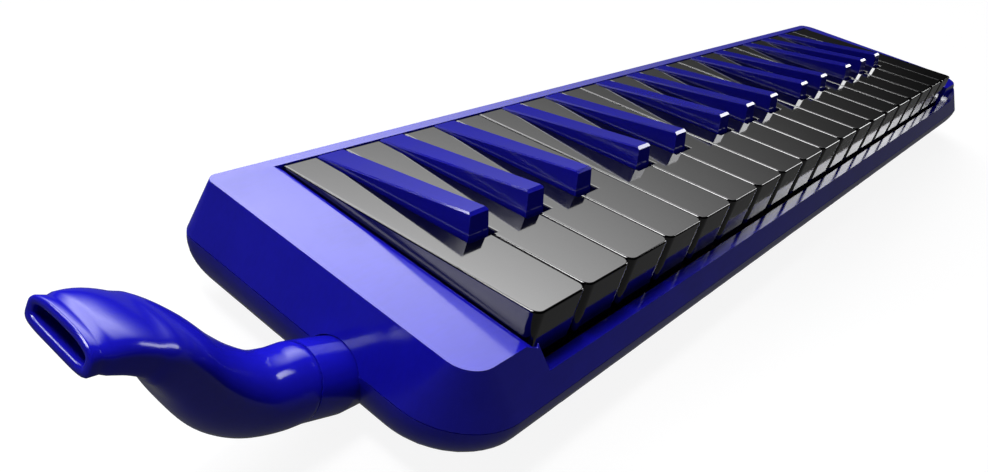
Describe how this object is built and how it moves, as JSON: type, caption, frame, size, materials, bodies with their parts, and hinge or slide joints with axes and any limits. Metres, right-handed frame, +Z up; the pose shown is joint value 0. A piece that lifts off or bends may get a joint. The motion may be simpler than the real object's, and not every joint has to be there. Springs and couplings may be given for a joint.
{
  "type": "melodica",
  "caption": "Free-reed keyboard wind instrument: long case with hinged naturals and sharps over a valve deck, reed chamber and a curved plug-in mouthpiece.",
  "frame": {"origin": "centre of the flat underside, on the surface it rests on", "axes": "+X towards the high notes, +Y towards the back, +Z up"},
  "size_m": [0.5073, 0.0972, 0.0538],
  "materials": {
    "case_plastic": "glossy moulded ABS, saturated blue",
    "sharp_plastic": "glossy moulded ABS, saturated blue",
    "natural_plastic": "high-gloss black",
    "deck_plastic": "black moulded plastic",
    "chamber_plastic": "dark moulded plastic",
    "steel": "bright drawn steel",
    "spring_steel": "blued spring steel",
    "brass": "brushed brass",
    "reed_brass": "polished phosphor bronze",
    "felt": "pressed wool felt",
    "gasket": "soft closed-cell rubber",
    "seal_rubber": "black rubber",
    "button_plastic": "glossy black"
  },
  "bodies": {
    "case": {"upper_case": "case_plastic", "lower_case": "case_plastic", "valve_deck": "deck_plastic", "key_pivot_rod": "steel", "key_spring_comb": "spring_steel", "key_stop_felt": "felt", "cell_gasket": "gasket", "reed_plate_low": "brass", "reed_plate_high": "brass", "reeds_low": "reed_brass", "reeds_high": "reed_brass", "chamber_cover": "chamber_plastic", "deck_screws": "steel", "case_screws": "steel", "inlet_socket": "deck_plastic", "wind_duct": "chamber_plastic", "drain_spring": "spring_steel"},
    "natural_f3": {"natural_key_f3": "natural_plastic"},
    "sharp_fs3": {"sharp_key_fs3": "sharp_plastic"},
    "natural_g3": {"natural_key_g3": "natural_plastic"},
    "sharp_gs3": {"sharp_key_gs3": "sharp_plastic"},
    "natural_a3": {"natural_key_a3": "natural_plastic"},
    "sharp_as3": {"sharp_key_as3": "sharp_plastic"},
    "natural_b3": {"natural_key_b3": "natural_plastic"},
    "natural_c4": {"natural_key_c4": "natural_plastic"},
    "sharp_cs4": {"sharp_key_cs4": "sharp_plastic"},
    "natural_d4": {"natural_key_d4": "natural_plastic"},
    "sharp_ds4": {"sharp_key_ds4": "sharp_plastic"},
    "natural_e4": {"natural_key_e4": "natural_plastic"},
    "natural_f4": {"natural_key_f4": "natural_plastic"},
    "sharp_fs4": {"sharp_key_fs4": "sharp_plastic"},
    "natural_g4": {"natural_key_g4": "natural_plastic"},
    "sharp_gs4": {"sharp_key_gs4": "sharp_plastic"},
    "natural_a4": {"natural_key_a4": "natural_plastic"},
    "sharp_as4": {"sharp_key_as4": "sharp_plastic"},
    "natural_b4": {"natural_key_b4": "natural_plastic"},
    "natural_c5": {"natural_key_c5": "natural_plastic"},
    "sharp_cs5": {"sharp_key_cs5": "sharp_plastic"},
    "natural_d5": {"natural_key_d5": "natural_plastic"},
    "sharp_ds5": {"sharp_key_ds5": "sharp_plastic"},
    "natural_e5": {"natural_key_e5": "natural_plastic"},
    "natural_f5": {"natural_key_f5": "natural_plastic"},
    "sharp_fs5": {"sharp_key_fs5": "sharp_plastic"},
    "natural_g5": {"natural_key_g5": "natural_plastic"},
    "sharp_gs5": {"sharp_key_gs5": "sharp_plastic"},
    "natural_a5": {"natural_key_a5": "natural_plastic"},
    "sharp_as5": {"sharp_key_as5": "sharp_plastic"},
    "natural_b5": {"natural_key_b5": "natural_plastic"},
    "natural_c6": {"natural_key_c6": "natural_plastic"},
    "seal_ring": {"socket_seal_ring": "seal_rubber"},
    "mouthpiece": {"mouthpiece": "case_plastic"},
    "drain_valve": {"drain_button": "button_plastic", "drain_seal": "seal_rubber"}
  },
  "joints": [
    {"name": "natural_f3_press", "type": "hinge", "parent": "case", "child": "natural_f3", "pos_m": [0, 0.016, 0.025], "axis": [1, 0, 0], "range_deg": [0, 5], "stiffness_Nm_per_rad": 0.25, "springref_deg": -6.88, "deforming": ["key_spring_comb"]},
    {"name": "sharp_fs3_press", "type": "hinge", "parent": "case", "child": "sharp_fs3", "pos_m": [0, 0.016, 0.025], "axis": [1, 0, 0], "range_deg": [0, 5], "stiffness_Nm_per_rad": 0.25, "springref_deg": -6.88, "deforming": ["key_spring_comb"]},
    {"name": "natural_g3_press", "type": "hinge", "parent": "case", "child": "natural_g3", "pos_m": [0, 0.016, 0.025], "axis": [1, 0, 0], "range_deg": [0, 5], "stiffness_Nm_per_rad": 0.25, "springref_deg": -6.88, "deforming": ["key_spring_comb"]},
    {"name": "sharp_gs3_press", "type": "hinge", "parent": "case", "child": "sharp_gs3", "pos_m": [0, 0.016, 0.025], "axis": [1, 0, 0], "range_deg": [0, 5], "stiffness_Nm_per_rad": 0.25, "springref_deg": -6.88, "deforming": ["key_spring_comb"]},
    {"name": "natural_a3_press", "type": "hinge", "parent": "case", "child": "natural_a3", "pos_m": [0, 0.016, 0.025], "axis": [1, 0, 0], "range_deg": [0, 5], "stiffness_Nm_per_rad": 0.25, "springref_deg": -6.88, "deforming": ["key_spring_comb"]},
    {"name": "sharp_as3_press", "type": "hinge", "parent": "case", "child": "sharp_as3", "pos_m": [0, 0.016, 0.025], "axis": [1, 0, 0], "range_deg": [0, 5], "stiffness_Nm_per_rad": 0.25, "springref_deg": -6.88, "deforming": ["key_spring_comb"]},
    {"name": "natural_b3_press", "type": "hinge", "parent": "case", "child": "natural_b3", "pos_m": [0, 0.016, 0.025], "axis": [1, 0, 0], "range_deg": [0, 5], "stiffness_Nm_per_rad": 0.25, "springref_deg": -6.88, "deforming": ["key_spring_comb"]},
    {"name": "natural_c4_press", "type": "hinge", "parent": "case", "child": "natural_c4", "pos_m": [0, 0.016, 0.025], "axis": [1, 0, 0], "range_deg": [0, 5], "stiffness_Nm_per_rad": 0.25, "springref_deg": -6.88, "deforming": ["key_spring_comb"]},
    {"name": "sharp_cs4_press", "type": "hinge", "parent": "case", "child": "sharp_cs4", "pos_m": [0, 0.016, 0.025], "axis": [1, 0, 0], "range_deg": [0, 5], "stiffness_Nm_per_rad": 0.25, "springref_deg": -6.88, "deforming": ["key_spring_comb"]},
    {"name": "natural_d4_press", "type": "hinge", "parent": "case", "child": "natural_d4", "pos_m": [0, 0.016, 0.025], "axis": [1, 0, 0], "range_deg": [0, 5], "stiffness_Nm_per_rad": 0.25, "springref_deg": -6.88, "deforming": ["key_spring_comb"]},
    {"name": "sharp_ds4_press", "type": "hinge", "parent": "case", "child": "sharp_ds4", "pos_m": [0, 0.016, 0.025], "axis": [1, 0, 0], "range_deg": [0, 5], "stiffness_Nm_per_rad": 0.25, "springref_deg": -6.88, "deforming": ["key_spring_comb"]},
    {"name": "natural_e4_press", "type": "hinge", "parent": "case", "child": "natural_e4", "pos_m": [0, 0.016, 0.025], "axis": [1, 0, 0], "range_deg": [0, 5], "stiffness_Nm_per_rad": 0.25, "springref_deg": -6.88, "deforming": ["key_spring_comb"]},
    {"name": "natural_f4_press", "type": "hinge", "parent": "case", "child": "natural_f4", "pos_m": [0, 0.016, 0.025], "axis": [1, 0, 0], "range_deg": [0, 5], "stiffness_Nm_per_rad": 0.25, "springref_deg": -6.88, "deforming": ["key_spring_comb"]},
    {"name": "sharp_fs4_press", "type": "hinge", "parent": "case", "child": "sharp_fs4", "pos_m": [0, 0.016, 0.025], "axis": [1, 0, 0], "range_deg": [0, 5], "stiffness_Nm_per_rad": 0.25, "springref_deg": -6.88, "deforming": ["key_spring_comb"]},
    {"name": "natural_g4_press", "type": "hinge", "parent": "case", "child": "natural_g4", "pos_m": [0, 0.016, 0.025], "axis": [1, 0, 0], "range_deg": [0, 5], "stiffness_Nm_per_rad": 0.25, "springref_deg": -6.88, "deforming": ["key_spring_comb"]},
    {"name": "sharp_gs4_press", "type": "hinge", "parent": "case", "child": "sharp_gs4", "pos_m": [0, 0.016, 0.025], "axis": [1, 0, 0], "range_deg": [0, 5], "stiffness_Nm_per_rad": 0.25, "springref_deg": -6.88, "deforming": ["key_spring_comb"]},
    {"name": "natural_a4_press", "type": "hinge", "parent": "case", "child": "natural_a4", "pos_m": [0, 0.016, 0.025], "axis": [1, 0, 0], "range_deg": [0, 5], "stiffness_Nm_per_rad": 0.25, "springref_deg": -6.88, "deforming": ["key_spring_comb"]},
    {"name": "sharp_as4_press", "type": "hinge", "parent": "case", "child": "sharp_as4", "pos_m": [0, 0.016, 0.025], "axis": [1, 0, 0], "range_deg": [0, 5], "stiffness_Nm_per_rad": 0.25, "springref_deg": -6.88, "deforming": ["key_spring_comb"]},
    {"name": "natural_b4_press", "type": "hinge", "parent": "case", "child": "natural_b4", "pos_m": [0, 0.016, 0.025], "axis": [1, 0, 0], "range_deg": [0, 5], "stiffness_Nm_per_rad": 0.25, "springref_deg": -6.88, "deforming": ["key_spring_comb"]},
    {"name": "natural_c5_press", "type": "hinge", "parent": "case", "child": "natural_c5", "pos_m": [0, 0.016, 0.025], "axis": [1, 0, 0], "range_deg": [0, 5], "stiffness_Nm_per_rad": 0.25, "springref_deg": -6.88, "deforming": ["key_spring_comb"]},
    {"name": "sharp_cs5_press", "type": "hinge", "parent": "case", "child": "sharp_cs5", "pos_m": [0, 0.016, 0.025], "axis": [1, 0, 0], "range_deg": [0, 5], "stiffness_Nm_per_rad": 0.25, "springref_deg": -6.88, "deforming": ["key_spring_comb"]},
    {"name": "natural_d5_press", "type": "hinge", "parent": "case", "child": "natural_d5", "pos_m": [0, 0.016, 0.025], "axis": [1, 0, 0], "range_deg": [0, 5], "stiffness_Nm_per_rad": 0.25, "springref_deg": -6.88, "deforming": ["key_spring_comb"]},
    {"name": "sharp_ds5_press", "type": "hinge", "parent": "case", "child": "sharp_ds5", "pos_m": [0, 0.016, 0.025], "axis": [1, 0, 0], "range_deg": [0, 5], "stiffness_Nm_per_rad": 0.25, "springref_deg": -6.88, "deforming": ["key_spring_comb"]},
    {"name": "natural_e5_press", "type": "hinge", "parent": "case", "child": "natural_e5", "pos_m": [0, 0.016, 0.025], "axis": [1, 0, 0], "range_deg": [0, 5], "stiffness_Nm_per_rad": 0.25, "springref_deg": -6.88, "deforming": ["key_spring_comb"]},
    {"name": "natural_f5_press", "type": "hinge", "parent": "case", "child": "natural_f5", "pos_m": [0, 0.016, 0.025], "axis": [1, 0, 0], "range_deg": [0, 5], "stiffness_Nm_per_rad": 0.25, "springref_deg": -6.88, "deforming": ["key_spring_comb"]},
    {"name": "sharp_fs5_press", "type": "hinge", "parent": "case", "child": "sharp_fs5", "pos_m": [0, 0.016, 0.025], "axis": [1, 0, 0], "range_deg": [0, 5], "stiffness_Nm_per_rad": 0.25, "springref_deg": -6.88, "deforming": ["key_spring_comb"]},
    {"name": "natural_g5_press", "type": "hinge", "parent": "case", "child": "natural_g5", "pos_m": [0, 0.016, 0.025], "axis": [1, 0, 0], "range_deg": [0, 5], "stiffness_Nm_per_rad": 0.25, "springref_deg": -6.88, "deforming": ["key_spring_comb"]},
    {"name": "sharp_gs5_press", "type": "hinge", "parent": "case", "child": "sharp_gs5", "pos_m": [0, 0.016, 0.025], "axis": [1, 0, 0], "range_deg": [0, 5], "stiffness_Nm_per_rad": 0.25, "springref_deg": -6.88, "deforming": ["key_spring_comb"]},
    {"name": "natural_a5_press", "type": "hinge", "parent": "case", "child": "natural_a5", "pos_m": [0, 0.016, 0.025], "axis": [1, 0, 0], "range_deg": [0, 5], "stiffness_Nm_per_rad": 0.25, "springref_deg": -6.88, "deforming": ["key_spring_comb"]},
    {"name": "sharp_as5_press", "type": "hinge", "parent": "case", "child": "sharp_as5", "pos_m": [0, 0.016, 0.025], "axis": [1, 0, 0], "range_deg": [0, 5], "stiffness_Nm_per_rad": 0.25, "springref_deg": -6.88, "deforming": ["key_spring_comb"]},
    {"name": "natural_b5_press", "type": "hinge", "parent": "case", "child": "natural_b5", "pos_m": [0, 0.016, 0.025], "axis": [1, 0, 0], "range_deg": [0, 5], "stiffness_Nm_per_rad": 0.25, "springref_deg": -6.88, "deforming": ["key_spring_comb"]},
    {"name": "natural_c6_press", "type": "hinge", "parent": "case", "child": "natural_c6", "pos_m": [0, 0.016, 0.025], "axis": [1, 0, 0], "range_deg": [0, 5], "stiffness_Nm_per_rad": 0.25, "springref_deg": -6.88, "deforming": ["key_spring_comb"]},
    {"name": "mouthpiece_turn", "type": "hinge", "parent": "case", "child": "seal_ring", "pos_m": [-0.22516, -0.011, 0.01422], "axis": [-0.9521, 0, 0.3057], "continuous": true},
    {"name": "mouthpiece_pull", "type": "slide", "parent": "seal_ring", "child": "mouthpiece", "axis": [-0.9521, 0, 0.3057], "range_m": [0, 0.03]},
    {"name": "drain_press", "type": "slide", "parent": "case", "child": "drain_valve", "axis": [-1, 0, 0], "range_m": [0, 0.0025], "stiffness_N_per_m": 400, "springref_m": -0.002, "deforming": ["drain_spring"]}
  ]
}
